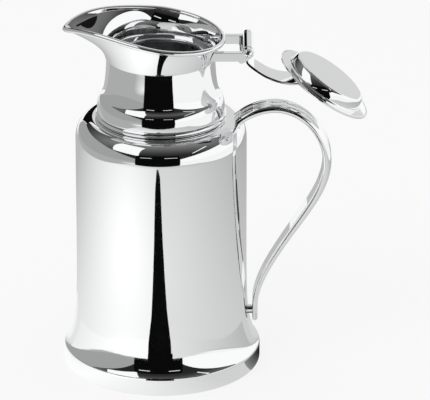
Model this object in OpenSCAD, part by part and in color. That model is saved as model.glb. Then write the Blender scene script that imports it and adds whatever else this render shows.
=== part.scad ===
// Lidded insulated jug: a polished, double-walled steel jug for pouring hot or cold drinks.
// The jug stands on z = 0 with its axis on Z. The handle and the lid hinge point along +X and the
// spout along -X. The lid is drawn swung back, with its arm resting on the stop bar of the hinge.

/* [Body] */
// Outer diameter of the straight wall
body_d = 111.2; // [106:0.2:114]
// Sheet thickness of shell, neck, collar and foot
wall = 0.8; // [0.6:0.1:1]
// Height of the straight wall's upper end
wall_top = 156; // [130:1:200]
// Rise of the shoulder above the straight wall
shoulder_rise = 15; // [11:0.5:20]
// How far the shoulder turns in from the wall to the neck
shoulder_in = 11.6; // [9:0.2:14]
// How far the wall sweeps out at the foot
flare_out = 8.4; // [6:0.1:10]
// Length over which the wall sweeps out to the foot
flare_len = 12.5; // [9:0.5:15]

/* [Foot] */
// Height of the upright band of the foot ring
foot_band = 10; // [9:0.2:14]
// Radius of the turn from the band into the flared wall
foot_turn = 2.8; // [1.6:0.1:4]
// Radius of the rounded lower edge
foot_edge = 2.5; // [1:0.1:3.5]
// Width of the rim that the jug stands on
foot_rim = 6; // [4.5:0.5:10]
// Depth of the recess under the base
recess = 4; // [2:0.5:6]

/* [Neck and collar] */
// Height of the neck from the shoulder to the collar seam
neck_h = 41.2; // [38:0.2:50]
// Inset of the neck's bead from the shoulder's crease
bead_in = 1.5; // [0.5:0.1:3]
// Height of that bead
bead_h = 4.6; // [3:0.1:6]
// How far the neck draws in from the bead to the collar seam
neck_in = 7.4; // [6:0.1:9]
// Rise of the neck's bend above the bead
bend_rise = 11.2; // [9:0.2:13]
// How far the neck has drawn in at that bend
bend_in = 2.4; // [1.6:0.1:3.2]
// Lean of the neck's wall at that bend, in degrees
bend_lean = 42; // [34:0.5:46]
// How far the collar steps out from its seam
collar_out = 0.8; // [0.5:0.1:1.6]
// How far the collar's wall leans out below the rim
collar_lean = 1.2; // [0.6:0.1:2]
// How far the rim flares out from the collar, on the hinge side
rim_out = 4.6; // [3:0.1:6]
// Height of the rim above the collar seam, on the axis
rim_h = 17.8; // [17:0.1:20]
// Tilt of the rim plane, rising towards the spout, in degrees
rim_tilt = 8.2; // [7:0.1:9]
// How far the spout reaches beyond the round rim
spout_out = 21.2; // [14:0.2:28]
// Drop of the spout tip below the rim plane
spout_drop = 8; // [5:0.5:10]
// Diameter of the rolled lip
lip_d = 3.4; // [2.4:0.1:3.6]

/* [Mouth and liner] */
// Width of the seat round the mouth, from the neck's outer face
seat_w = 7.1; // [6:0.1:9]
// Thickness of the seat ring under the lid
seat_t = 1.8; // [1.2:0.1:2.4]
// Gap between the two walls
liner_gap = 4; // [3:0.5:8]
// Gap between the two floors
floor_gap = 6; // [4:0.5:12]
// Corner radius of the liner's floor
liner_corner = 12; // [6:1:20]
// Overlap of the welded joints at the liner's floor and dome
liner_lap = 4; // [2:0.5:6]

/* [Lid] */
// Height of the plug below the flange
plug_h = 7.2; // [5:0.2:9]
// Radial clearance of the plug in the mouth
plug_gap = 1.2; // [1:0.1:2]
// Taper of the plug, on radius
plug_taper = 1; // [0.6:0.1:1.6]
// Radius of the plug's lower edge
plug_edge = 2.4; // [1.5:0.1:3]
// Height of the hemmed edge
hem_h = 1.7; // [1.4:0.1:2.6]
// Rise of the domed cover above the hem
dome_h = 5.5; // [4:0.5:8]
// Sheet thickness of the cover and the plug
lid_wall = 0.8; // [0.6:0.1:1.2]
// Radial clearance of the hem inside the collar
lid_clear = 0.4; // [0.3:0.1:0.8]
// Clearance between the closed lid and its seat
lid_seat = 0.3; // [0.2:0.1:0.6]

/* [Hinge] */
// Distance of the hinge pin from the rim
pin_out = 15.7; // [14:0.1:18]
// Height of the hinge pin above the collar seam
pin_rise = 8.4; // [8:0.1:9]
// Diameter of the hinge pin
pin_d = 3; // [2.4:0.2:3.4]
// Running clearance round the pin, on radius
pin_clear = 0.05; // [0.02:0.01:0.09]
// Angle from shut to open
open_angle = 215; // [205:1:220]
// Space between the two ears
fork_gap = 28; // [24:0.5:32]
// Thickness of an ear
ear_t = 4; // [3:0.5:5]
// Height of an ear's bar
ear_h = 5.8; // [4:0.2:6.4]
// Drop of the bar's middle below the pin
ear_drop = 2.3; // [2:0.1:3]
// Radius of the eye round the pin
eye_r = 3.5; // [3.1:0.1:4]
// Radius of the pin's domed heads
head_r = 2.6; // [2.2:0.1:3]
// Height of the pin's domed heads
head_h = 1.5; // [1:0.1:2]
// Diameter of the stop bar
stop_d = 3; // [2.4:0.2:3.4]
// Clearance between the arm and the stop bar
stop_clear = 0.3; // [0.2:0.05:0.5]
// Diameter of the lid arm's knuckle
knuckle_d = 7.4; // [6.6:0.2:7.8]
// End play of the knuckle at each ear
knuckle_play = 0.4; // [0.3:0.1:0.8]

/* [Lid arm] */
// Thickness of the arm's strap
arm_t = 1.6; // [1.2:0.1:2]
// Width of the arm at the hinge
arm_w = 18; // [12:0.5:22]
// Width of the arm at the lid
arm_foot_w = 23; // [18:0.5:26]
// Height of the arm's crest above the pin
arm_lift = 9.5; // [8.4:0.1:11]
// Distance of the arm's crest from the pin
arm_crest = 6.4; // [5:0.2:8]
// Distance from the lid's axis to where the arm lands
arm_land = 16; // [14:0.5:20]
// Length of the arm's foot on the cover
arm_foot = 9; // [6:0.5:12]

/* [Handle] */
// Width of the handle's strap
handle_w = 16; // [13:0.5:19]
// Thickness of the strap between its beads
handle_t = 4.2; // [3:0.1:5]
// Height of the two beads along the outer face
reed_h = 1.5; // [0.8:0.1:2]
// Thickness of the strap at its lower end, as a share of the rest
handle_taper = 0.62; // [0.5:0.02:1]
// Furthest distance of the strap from the wall
handle_reach = 51.5; // [46:0.5:58]
// Drop of the furthest point below the straight wall's upper end
bulge_drop = 15; // [6:1:30]
// Rise of the crest above the straight wall
crest_rise = 21.6; // [18:0.2:26]
// Distance of the crest from the wall
crest_x = 18.2; // [15:0.2:22]
// Distance of the waist point from the wall
waist_x = 26.2; // [22:0.2:30]
// Drop of the waist point below the furthest point
waist_drop = 53.5; // [44:0.5:62]
// Lean of the strap at the waist point, in degrees from upright
waist_lean = 32.5; // [26:0.5:38]
// Height of the strap's lower end above the foot
handle_rise = 17.7; // [14:0.1:22]
// Length of the straight stretch at the lower end
handle_straight = 10; // [8:0.5:14]
// Gap between the strap and the wall at the lower end
handle_gap = 1.9; // [1.5:0.1:3.5]
// Diameter of the spacer stud at the lower end
stud_d = 6; // [4:0.5:8]
// Angle round the shoulder, from level, at which the strap lands
root_angle = 57; // [52:0.5:60]

/* [Hidden] */
$fn = 96;
steel = "#d9dcdf";
shade_steel = "#b9bec3";
foam = "#e9e2c8";

// Fit of one fixed piece inside another
fit = 0.1;
eps = 0.01;

body_r = body_d / 2;
foot_top_r = body_r + flare_out;
// The foot's turn runs into the wall along the wall's own slope
turn_angle = atan(flare_out / flare_len);
foot_r = foot_top_r + foot_turn * (1 - cos(turn_angle));
foot_h = foot_band + foot_turn * sin(turn_angle);
shoulder_r = body_r - shoulder_in;
bead_r = shoulder_r - bead_in;
waist_r = bead_r - neck_in;
collar_r = waist_r + collar_out;
rim_r = collar_r + rim_out;
spout_reach = rim_r + spout_out;
mouth_r = waist_r - seat_w;
pin_x = rim_r + pin_out;
pin_r = pin_d / 2;
stop_r = stop_d / 2;
knuckle_r = knuckle_d / 2;
lip_r = lip_d / 2;

shoulder_z = wall_top + shoulder_rise;
seam_z = shoulder_z + neck_h;
seat_z = seam_z + seat_t;
pin_z = seam_z + pin_rise;

function flip(p) = [for (i = [len(p) - 1:-1:0]) p[i]];
function lerp(a, b, t) = a + (b - a) * t;
function ellipse_arc(cx, cz, a, b, from, to, n) =
    [for (i = [0:n]) let (t = lerp(from, to, i / n)) [cx + a * cos(t), cz + b * sin(t)]];
function full_arc(cx, cz, a, b, power, n) =
    [for (i = [0:n]) let (t = 90 * i / n)
        [cx + a * pow(cos(t), 2 / power), cz + b * pow(sin(t), 2 / power)]];
function bez2(a, b, c, n, from = 0) =
    [for (i = [from:n]) let (t = i / n) a * pow(1 - t, 2) + 2 * b * t * (1 - t) + c * t * t];
function bez3(a, b, c, d, n, from = 0) =
    [for (i = [from:n]) let (t = i / n, s = 1 - t)
        a * pow(s, 3) + 3 * b * t * s * s + 3 * c * t * t * s + d * pow(t, 3)];
function unit(v) = v / norm(v);
function left_of(v) = [-v[1], v[0]];
function heading(p, i) = unit(p[min(i + 1, len(p) - 1)] - p[max(i - 1, 0)]);
function shifted(p, d) = [for (i = [0:len(p) - 1]) p[i] + d * left_of(heading(p, i))];

module turned(profile) {
    rotate_extrude()
        polygon(profile);
}

// Outer shell
// The wall sweeps out to the foot by a decaying curve
flare_top = foot_h + 6 * flare_len;
function wall_r(z) =
    z >= flare_top ? body_r : body_r + (foot_top_r - body_r) * exp((foot_h - z) / flare_len);
// The shoulder is a little fuller than an ellipse
shoulder_power = 2.25;
wall_steps = 22;
// The steps crowd towards the foot, where the wall bends most
wall_crowd = 1.4;
function wall_line(inset) = [
    for (i = [0:wall_steps]) let (z = lerp(foot_h, flare_top, pow(i / wall_steps, wall_crowd)))
        [wall_r(z) - inset, z],
];
shoulder_steps = 14;
function shoulder_line(grow) = full_arc(shoulder_r, wall_top, body_r - shoulder_r + grow,
    shoulder_rise + grow, shoulder_power, shoulder_steps);
// A flat lip turned in at the top carries the neck
shoulder_lip = 4.5;
lip_in_r = shoulder_r - shoulder_lip;

module outer_shell() {
    outside = concat(wall_line(0), shoulder_line(0), [[lip_in_r, shoulder_z]]);
    inside = concat(wall_line(wall), shoulder_line(-wall), [[lip_in_r, shoulder_z - wall]]);
    color(steel)
        turned(concat(outside, flip(inside)));
}

// Foot ring, base plate and floor of the shell
// The ring is closed above by a flat lip under the shell and its floor
foot_lip = 4;
edge_steps = 5;
turn_steps = 6;
upstand_r = foot_r - foot_rim;

module foot_ring() {
    outside = concat(
        [[upstand_r, recess], [upstand_r, 0]],
        ellipse_arc(foot_r - foot_edge, foot_edge, foot_edge, foot_edge, -90, 0, edge_steps),
        ellipse_arc(foot_r - foot_turn, foot_band, foot_turn, foot_turn, 0, turn_angle, turn_steps),
        [[foot_top_r - foot_lip, foot_h]]);
    inside = concat(
        [[upstand_r + wall, recess], [upstand_r + wall, wall]],
        ellipse_arc(foot_r - foot_edge, foot_edge, foot_edge - wall, foot_edge - wall, -90, 0,
            edge_steps),
        ellipse_arc(foot_r - foot_turn, foot_band, foot_turn - wall, foot_turn - wall, 0,
            turn_angle, turn_steps),
        [[foot_top_r - foot_lip, foot_h - wall]]);
    color(steel)
        turned(concat(outside, flip(inside)));
}

module base_plate() {
    color(shade_steel)
        translate([0, 0, recess])
            cylinder(h = wall, r = foot_r - wall - fit);
}

floor_r = wall_r(foot_h + wall) - wall - fit;
// The floor is pressed down in the middle to stiffen it against the vacuum
floor_dish = 3;
floor_flat_r = 22;
floor_bend_r = 38;

module shell_floor() {
    lower = [[0, foot_h - floor_dish], [floor_flat_r, foot_h - floor_dish], [floor_bend_r, foot_h],
        [floor_r, foot_h]];
    upper = [for (p = lower) p + [0, wall]];
    color(shade_steel)
        turned(concat(lower, flip(upper)));
}

// The sealed evacuation port in the middle of the floor
seal_d = 14;
seal_h = 2;

module vacuum_seal() {
    color(shade_steel)
        translate([0, 0, foot_h - floor_dish - seal_h])
            cylinder(h = seal_h, d1 = seal_d - seal_h, d2 = seal_d);
}

// Inner liner, hung from the seat ring: a rolled neck, a drawn dome, a rolled wall and a pressed floor
liner_r = body_r - wall - liner_gap;
liner_floor_z = foot_h + wall + floor_gap;
liner_top = wall_top - liner_gap;
liner_neck_z = shoulder_z - wall - liner_gap;

// The wall stands inside the dome's skirt and round the floor's upstand
liner_low = liner_floor_z + liner_corner;
liner_wall_r = liner_r - wall - fit;
liner_floor_r = liner_wall_r - wall - fit;
corner_steps = 8;
dome_turn = 80;
liner_dome_steps = 10;
function liner_base(inset) = concat(
    [[0, liner_floor_z + inset]],
    ellipse_arc(liner_floor_r - liner_corner, liner_low, liner_corner - inset, liner_corner - inset,
        -90, 0, corner_steps),
    [[liner_floor_r - inset, liner_low + liner_lap]]);
function liner_bow(inset) = concat(
    [[liner_r - inset, liner_top - liner_lap]],
    ellipse_arc(mouth_r + wall, liner_top, liner_r - mouth_r - wall - inset,
        liner_neck_z - liner_top - inset, 0, dome_turn, liner_dome_steps),
    [[mouth_r + wall - inset, liner_neck_z + wall]]);

module liner_wall() {
    color(shade_steel)
        turned([[liner_wall_r - wall, liner_low], [liner_wall_r, liner_low],
            [liner_wall_r, liner_top], [liner_wall_r - wall, liner_top]]);
}

module liner_floor() {
    color(shade_steel)
        turned(concat(liner_base(0), flip(liner_base(wall))));
}

module liner_dome() {
    color(shade_steel)
        turned(concat(liner_bow(0), flip(liner_bow(wall))));
}

// The neck is welded end to end on the dome's short lip
module liner_neck() {
    color(shade_steel)
        translate([0, 0, liner_neck_z + wall])
            difference() {
                cylinder(h = seam_z - liner_neck_z - wall, r = mouth_r + wall);
                translate([0, 0, -wall])
                    cylinder(h = seam_z - liner_neck_z + wall, r = mouth_r);
            }
}

// Neck ring with its bead, and the seat ring on top of it
neck_lip = 4;
// The neck rises from the crease above the bead, bends in and then runs up almost upright
bead_crease = 1.1;
throat_r = bead_r - bead_crease;
bead_top = shoulder_z + bead_h;
neck_bend = [throat_r - bend_in, bead_top + bend_rise];
bend_way = [-sin(bend_lean), cos(bend_lean)];
// How far the neck keeps its direction above the crease, on both sides of the bend and at the top
crease_pull = 6;
bend_pull = 2.4;
rise_pull = 3.5;
top_pull = 14;
// The neck still draws in by this much over its last stretch
top_lean = 0.45;
cove = concat(
    bez3([throat_r, bead_top], [throat_r, bead_top + crease_pull], neck_bend - bend_pull * bend_way,
        neck_bend, 10),
    bez3(neck_bend, neck_bend + rise_pull * bend_way, [waist_r + top_lean, seam_z - top_pull],
        [waist_r, seam_z], 12, 1));

module neck_ring() {
    bead = bead_h / 2;
    outside = concat(
        ellipse_arc(bead_r - bead, shoulder_z + bead, bead, bead, -90, 60, 8),
        cove, [[waist_r - neck_lip, seam_z]]);
    inside = concat(
        [[bead_r - bead - wall / 2, shoulder_z]],
        [for (p = shifted(cove, wall)) if (p[1] < seam_z - wall) p],
        [[waist_r - wall, seam_z - wall], [waist_r - neck_lip, seam_z - wall]]);
    color(steel)
        turned(concat(outside, flip(inside)));
}

module seat_ring() {
    nose = seat_t / 2;
    color(steel)
        turned(concat(
            ellipse_arc(mouth_r + nose, seam_z + nose, nose, nose, 270, 90, 8),
            [[waist_r - wall - fit, seat_z], [waist_r - wall - fit, seam_z]]));
}

// Spout collar: a leaning band that flares into a tilted rim, drawn out to a beak
// The rim is round towards the hinge and a long, slightly pointed oval towards the spout
beak_power = 1.45;
// The beak starts to leave the rim plane this far from the axis
beak_start = 14;
// The tip falls away from the rim plane by this power of the distance
beak_fall = 4;
// A short cone makes the step above the seam
step_h = 0.8;
// Height of the flare's bend, as a share of the rim's height, at the sides and at the spout
side_bend = 0.68;
spout_bend = 0.42;
collar_sides = 96;
collar_steps = 9;
lip_steps = 6;
// The lip's bead runs round this far to each side of the sheet's edge
lip_roll = 120;

function rim_reach(t) =
    cos(t) >= 0 ? rim_r
    : 1 / pow(pow(-cos(t) / spout_reach, beak_power) + pow(abs(sin(t)) / rim_r, beak_power),
        1 / beak_power);
function rim_z(t) =
    let (x = rim_reach(t) * cos(t), past = max(0, -x - beak_start) / (spout_reach - beak_start))
    seam_z + rim_h - x * tan(rim_tilt) - spout_drop * pow(past, beak_fall);
function flare_line(t) =
    let (z = rim_z(t), bend = lerp(side_bend, spout_bend, (rim_reach(t) - rim_r) / spout_out))
    concat([[waist_r, seam_z]],
        bez2([collar_r, seam_z + step_h], [collar_r + collar_lean, lerp(seam_z, z, bend)],
            [rim_reach(t), z], collar_steps));
// A closed section of the sheet at one angle, with its rolled lip
function collar_section(t) =
    let (line = flare_line(t), last = len(line) - 1, back = shifted(line, wall),
        way = heading(line, last), side = left_of(way), mid = line[last] + side * wall / 2)
    concat(
        [for (i = [0:last - 1]) line[i]],
        [for (i = [0:lip_steps]) let (a = lerp(-lip_roll, lip_roll, i / lip_steps))
            mid + lip_r * (cos(a) * way + sin(a) * side)],
        [for (i = [last - 1:-1:1]) back[i]],
        [[waist_r - wall, seam_z]]);

module spout_collar() {
    rings = [for (i = [0:collar_sides - 1]) let (t = 360 * i / collar_sides)
        [for (p = collar_section(t)) [p[0] * cos(t), p[0] * sin(t), p[1]]]];
    n = len(rings[0]);
    color(steel)
        polyhedron(
            points = [for (ring = rings, p = ring) p],
            faces = [for (i = [0:collar_sides - 1], j = [0:n - 1])
                let (a = i * n, b = (i + 1) % collar_sides * n, k = (j + 1) % n)
                each [[a + j, a + k, b + k], [a + j, b + k, b + j]]]);
}

// Handle: one reeded strap from the shoulder out over the hand and back down to the wall
root_cos = pow(cos(root_angle), 2 / shoulder_power);
root_sin = pow(sin(root_angle), 2 / shoulder_power);
root_x = shoulder_r + (body_r - shoulder_r) * root_cos;
root_z = wall_top + shoulder_rise * root_sin;
handle_end_z = foot_h + handle_rise;
handle_bulge_z = wall_top - bulge_drop;
inner_x = wall_r(handle_end_z) + handle_gap;
end_x = inner_x + handle_t * handle_taper / 2;
bulge_x = body_r + handle_reach;
crest = [body_r + crest_x, wall_top + crest_rise];
waist = [body_r + waist_x, handle_bulge_z - waist_drop];
straight_top = [end_x, handle_end_z + handle_straight];
waist_way = [sin(waist_lean), cos(waist_lean)];
// How far the strap keeps its direction at the ends of each curve
crest_pull = 18;
bulge_pull = 19;
waist_pull = 21;
end_pull = 14;
root_pull = 7;
// The strap leaves the root block square to the block's outer face
root_block = 2.4;
root_way = unit([1, 0.8]);
root_start = [root_x, root_z] + root_block * root_way;
handle_line = concat(
    bez3(root_start, root_start + root_pull * root_way, crest - [root_pull, 0], crest, 10),
    bez3(crest, crest + [crest_pull, 0], [bulge_x, handle_bulge_z + bulge_pull],
        [bulge_x, handle_bulge_z], 14, 1),
    bez3([bulge_x, handle_bulge_z], [bulge_x, handle_bulge_z - bulge_pull],
        waist + waist_pull * waist_way, waist, 14, 1),
    bez3(waist, waist - waist_pull * waist_way, straight_top + [0, end_pull], straight_top, 10, 1),
    [[end_x, handle_end_z]]);
// Section across the strap: a flat inner face, round sides and two beads along the outer face
reed_steps = 12;
// Below 1, the beads are fuller than half a wave
reed_power = 0.6;
side_steps = 6;
side_r = handle_t / 2;
face_w = handle_w - handle_t;
handle_section = concat(
    [for (i = [0:reed_steps]) let (u = lerp(0.5, -0.5, i / reed_steps))
        [u * face_w, side_r + reed_h * pow(abs(sin(360 * u)), reed_power)]],
    [for (i = [1:side_steps]) let (a = lerp(90, 270, i / side_steps))
        [side_r * cos(a) - face_w / 2, side_r * sin(a)]],
    [for (i = [0:side_steps - 1]) let (a = lerp(-90, 90, i / side_steps))
        [side_r * cos(a) + face_w / 2, side_r * sin(a)]]);

module handle() {
    n = len(handle_section);
    last = len(handle_line) - 1;
    // The strap thins from its furthest point down to the straight stretch
    taper_from = last / 2;
    taper_over = last - 1 - taper_from;
    rings = [for (i = [0:last])
        let (way = i == 0 ? root_way : i == last ? [0, -1] : heading(handle_line, i),
            out = left_of(way) * lerp(1, handle_taper, max(0, min(1, (i - taper_from) / taper_over))))
        [for (s = handle_section) [handle_line[i][0] + s[1] * out[0], s[0],
            handle_line[i][1] + s[1] * out[1]]]];
    color(steel)
        polyhedron(
            points = [for (ring = rings, p = ring) p],
            faces = concat(
                [[for (j = [0:n - 1]) j], [for (j = [n - 1:-1:0]) last * n + j]],
                [for (i = [0:last - 1], j = [0:n - 1])
                    let (a = i * n, b = a + n, k = (j + 1) % n)
                    each [[a + j, b + k, a + k], [a + j, b + j, b + k]]]));
}

// The solid of the body, used to fit pieces to its outer face
module body_core(grow) {
    outside = concat(wall_line(-grow), shoulder_line(grow));
    turned(concat([[0, foot_h]], outside, [[0, shoulder_z + grow]]));
}

root_depth = 8;

module handle_root() {
    color(steel)
        difference() {
            translate([root_x, 0, root_z])
                rotate([0, -atan2(root_way[1], root_way[0]), 0])
                    rotate([90, 0, 90])
                        translate([0, 0, -root_depth])
                            linear_extrude(root_depth + root_block - eps)
                                polygon(handle_section);
            body_core(eps);
        }
}

stud_z = handle_end_z + handle_straight / 2;

module handle_stud() {
    color(steel)
        difference() {
            translate([body_r - wall, 0, stud_z])
                rotate([0, 90, 0])
                    cylinder(h = inner_x - body_r + wall - eps, d = stud_d);
            body_core(eps);
        }
}

// Hinge: two ears on the collar, a headed pin through them and a bar that stops the arm
// All places in the lid's own frame are from the pin, with the lid shut
function opened(p) = [p[0] * cos(open_angle) + p[1] * sin(open_angle),
    p[1] * cos(open_angle) - p[0] * sin(open_angle)];
arm_start = [0, knuckle_r - arm_t / 2];
arm_top = [-arm_crest, arm_lift];
arm_way = unit(arm_top - arm_start);
// The bar lies against the arm's upper face, just clear of the knuckle
stop_run = 1.2;
stop_shut = arm_start + stop_run * arm_way
    - (arm_t / 2 + stop_clear + stop_r) * left_of(arm_way);
stop_at = [pin_x, pin_z] + opened(stop_shut);
// Metal round the stop bar's end in the ear
stop_cover = 1.1;
stop_eye_r = stop_r + stop_cover;

module at_pin() {
    translate([pin_x, 0, pin_z])
        children();
}

// A rod along Y, centred on the plane of symmetry
module cross_rod(x, z, r, length) {
    translate([x, 0, z])
        rotate([90, 0, 0])
            cylinder(h = length, r = r, center = true);
}

// Outline round pin eye and stop eye, with straight tangents between them
eye_link = stop_at - [pin_x, pin_z];
eye_way = atan2(eye_link[1], eye_link[0]);
eye_turn = acos((eye_r - stop_eye_r) / norm(eye_link));
eye_line = concat(
    ellipse_arc(pin_x, pin_z, eye_r, eye_r, eye_way + eye_turn, eye_way - eye_turn + 360, 20),
    ellipse_arc(stop_at[0], stop_at[1], stop_eye_r, stop_eye_r, eye_way - eye_turn,
        eye_way + eye_turn, 12));

module hinge_ear(side) {
    from = side > 0 ? fork_gap / 2 : -fork_gap / 2 - ear_t;
    color(steel)
        difference() {
            translate([0, from + ear_t, 0])
                rotate([90, 0, 0])
                    linear_extrude(ear_t)
                        difference() {
                            union() {
                                translate([0, pin_z - ear_drop - ear_h / 2])
                                    square([pin_x, ear_h]);
                                polygon(eye_line);
                            }
                            translate([pin_x, pin_z])
                                circle(r = pin_r + pin_clear);
                        }
            turned(concat([[0, seam_z - neck_h], [collar_r + fit, seam_z - neck_h]],
                [for (p = flare_line(0)) p + [fit, 0]], [[0, rim_z(0)]]));
        }
}

module hinge_ear_near() hinge_ear(-1);
module hinge_ear_far() hinge_ear(1);

module hinge_pin() {
    half = fork_gap / 2 + ear_t;
    color(shade_steel)
        at_pin()
            rotate([90, 0, 0])
                turned(concat(
                    [[0, -half - head_h]],
                    ellipse_arc(0, -half, head_r, head_h, -60, 0, 5),
                    [[pin_r, -half], [pin_r, half]],
                    ellipse_arc(0, half, head_r, head_h, 0, 60, 5),
                    [[0, half + head_h]]));
}

module stop_bar() {
    color(shade_steel)
        cross_rod(stop_at[0], stop_at[1], stop_r, fork_gap);
}

// Lid, drawn shut and then swung back about the pin
hem_r = waist_r - wall - lid_clear;
plug_r = mouth_r - plug_gap;
flange_z = seat_z + lid_seat;
// The dome stops short of the rounded hem
hem_w = 3;
cover_edge_r = hem_r - hem_w;
cover_z = flange_z + hem_h;

module swung_open() {
    at_pin()
        rotate([0, open_angle, 0])
            translate([-pin_x, 0, -pin_z])
                children();
}

// Height of the cover's upper face at a distance from its axis
function dome_z(r) = cover_z + dome_h * (1 - pow(r / cover_edge_r, 2));
dome_steps = 12;
function dome_line(drop) =
    [for (i = [0:dome_steps]) let (r = cover_edge_r * i / dome_steps) [r, dome_z(r) - drop]];

module lid_cover() {
    inner_r = hem_r - lid_wall;
    color(steel)
        swung_open()
            turned(concat(
                dome_line(0),
                ellipse_arc(hem_r - hem_h / 2, cover_z - hem_h / 2, hem_h / 2, hem_h / 2, 90, 0, 6),
                [[hem_r, flange_z], [inner_r, flange_z], [inner_r, cover_z - lid_wall]],
                flip(dome_line(lid_wall))));
}

module lid_plug() {
    flange_r = hem_r - lid_wall - fit;
    flange_top = cover_z - lid_wall;
    foot_z = flange_z - plug_h;
    low_r = plug_r - plug_taper;
    outside = concat(
        [[flange_r, flange_top], [flange_r, flange_top - lid_wall], [plug_r, flange_top - lid_wall]],
        ellipse_arc(low_r - plug_edge, foot_z + plug_edge, plug_edge, plug_edge, 0, -90, 6),
        [[0, foot_z]]);
    inside = concat(
        [[plug_r - lid_wall, flange_top]],
        ellipse_arc(low_r - plug_edge, foot_z + plug_edge, plug_edge - lid_wall,
            plug_edge - lid_wall, 0, -90, 6),
        [[0, foot_z + lid_wall]]);
    color(steel)
        swung_open()
            turned(concat(outside, flip(inside)));
}

module lid_insulation() {
    floor_z = flange_z - plug_h + lid_wall;
    core_r = plug_r - plug_taper - plug_edge;
    color(foam)
        swung_open()
            translate([0, 0, floor_z])
                cylinder(h = cover_z - lid_wall - floor_z, r = core_r);
}

// Lid arm: a strap rolled round the pin, lifted over the rim and laid on the cover
land = [arm_land - pin_x, dome_z(arm_land) - pin_z];
foot_tip = [arm_land - arm_foot - pin_x, dome_z(arm_land - arm_foot) - pin_z];
// The strap bends at its crest, passes over the rim almost level and drops to the cover
crest_bend = 2.4;
rim_pass = 4;
rim_fall = 0.4;
over_rim = [rim_r - pin_x - rim_pass, arm_lift - rim_fall];
level_pull = [8, 0.9];
land_pull = [5, 5.6];
// The foot's tip is bedded a little into the dome, and the dome is cut out of it
foot_bed = 0.3;
arm_line = concat(
    [arm_start],
    bez2(arm_top - crest_bend * arm_way, arm_top, over_rim, 6),
    bez3(over_rim, over_rim - level_pull, land + land_pull, land + [0, arm_t / 2], 8, 1),
    [foot_tip + [0, arm_t / 2 - foot_bed]]);

module arm_strap() {
    at_pin()
        rotate([90, 0, 0])
            linear_extrude(arm_foot_w, center = true)
                polygon(concat(shifted(arm_line, arm_t / 2), flip(shifted(arm_line, -arm_t / 2))));
}

// Seen from above, the strap widens towards the lid
module arm_plan() {
    reach = pin_x - arm_land + arm_foot;
    at_pin()
        linear_extrude(4 * arm_lift, center = true)
            polygon([[knuckle_r, arm_w / 2], [-reach / 2, arm_w / 2], [-reach, arm_foot_w / 2],
                [-reach, -arm_foot_w / 2], [-reach / 2, -arm_w / 2], [knuckle_r, -arm_w / 2]]);
}

module lid_arm() {
    color(steel)
        swung_open()
            difference() {
                union() {
                    intersection() {
                        arm_strap();
                        arm_plan();
                    }
                    cross_rod(pin_x, pin_z, knuckle_r, fork_gap - 2 * knuckle_play);
                }
                cross_rod(pin_x, pin_z, pin_r + pin_clear, fork_gap);
                turned(concat([[0, cover_z]], flip(dome_line(-eps))));
            }
}

outer_shell();
shell_floor();
vacuum_seal();
foot_ring();
base_plate();
liner_wall();
liner_floor();
liner_dome();
liner_neck();
neck_ring();
seat_ring();
spout_collar();
handle();
handle_root();
handle_stud();
hinge_ear_near();
hinge_ear_far();
hinge_pin();
stop_bar();
lid_arm();
lid_cover();
lid_plug();
lid_insulation();
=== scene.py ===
# %% [markdown]
# This lesson dresses a polished steel jug for hot drinks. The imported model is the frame: it says where
# each piece sits and which pieces move. The solids could be shown as they are, but a mirror shows every
# flat facet, so almost every piece is made again here with a finer, rounder skin in its place.

import math

import bmesh
import bpy
from mathutils import Matrix, Vector
from mathutils.geometry import interpolate_bezier


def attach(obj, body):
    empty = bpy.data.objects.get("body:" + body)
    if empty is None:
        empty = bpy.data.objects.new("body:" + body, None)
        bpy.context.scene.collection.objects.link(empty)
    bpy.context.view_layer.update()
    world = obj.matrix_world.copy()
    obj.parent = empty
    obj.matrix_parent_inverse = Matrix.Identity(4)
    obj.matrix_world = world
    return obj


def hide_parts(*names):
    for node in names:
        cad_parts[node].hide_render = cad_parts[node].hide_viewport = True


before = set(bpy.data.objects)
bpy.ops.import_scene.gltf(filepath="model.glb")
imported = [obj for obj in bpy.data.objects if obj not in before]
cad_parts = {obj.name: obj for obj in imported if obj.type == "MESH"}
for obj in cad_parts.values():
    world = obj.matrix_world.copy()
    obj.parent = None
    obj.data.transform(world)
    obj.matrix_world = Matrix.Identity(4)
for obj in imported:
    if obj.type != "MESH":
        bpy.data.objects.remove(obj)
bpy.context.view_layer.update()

# %% [markdown]
# Most of the jug is spun on a lathe from sheet, so most pieces start as a profile: a line of places, each a
# distance from the axis and a height. A few small helpers draw those lines in millimetres, the way a turner's
# drawing gives them: part of an ellipse, a single bend, a free curve, the same line one sheet further in, and
# plain places.

# %% Lines for the profiles
SHEET = 0.8


def part_ellipse(middle, width, height, start, end, count):
    turns = [math.radians(start + (end - start) * i / count) for i in range(count + 1)]
    return [Vector((middle[0] + width * math.cos(t), middle[1] + height * math.sin(t))) for t in turns]


def bend(start, corner, end, count):
    a, b, c = Vector(start), Vector(corner), Vector(end)
    return interpolate_bezier(a, a.lerp(b, 2 / 3), c.lerp(b, 2 / 3), c, count)


def curve(start, leave, arrive, end, count):
    return interpolate_bezier(Vector(start), Vector(leave), Vector(arrive), Vector(end), count)


def moved_left(line, gap):
    ways = [after - before for before, after in zip(line[:1] + line[:-1], line[1:] + line[-1:])]
    return [p + gap * Vector((-w.y, w.x)).normalized() for p, w in zip(line, ways)]


def places(*pairs):
    return [Vector(pair) for pair in pairs]


quarter = part_ellipse((0, 0), 5, 5, 0, 90, 2)
print("a quarter round of 5 mm:", [tuple(round(v, 2) for v in p) for p in quarter])

# %% [markdown]
# Spinning the profile round the upright axis gives the piece, as on the lathe. A screw modifier would do the
# same, but the spin operator leaves real faces whose sharp edges can then be softened. Polished sheet has no
# knife edges: every fold is rounded by the buffing wheel, and that small round is what catches the light.

# %% Spin a profile and soften its edges
AROUND = 192
CREASE = math.radians(28)
MERGE, FINE_EDGE = 1e-4, 0.15


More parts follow.
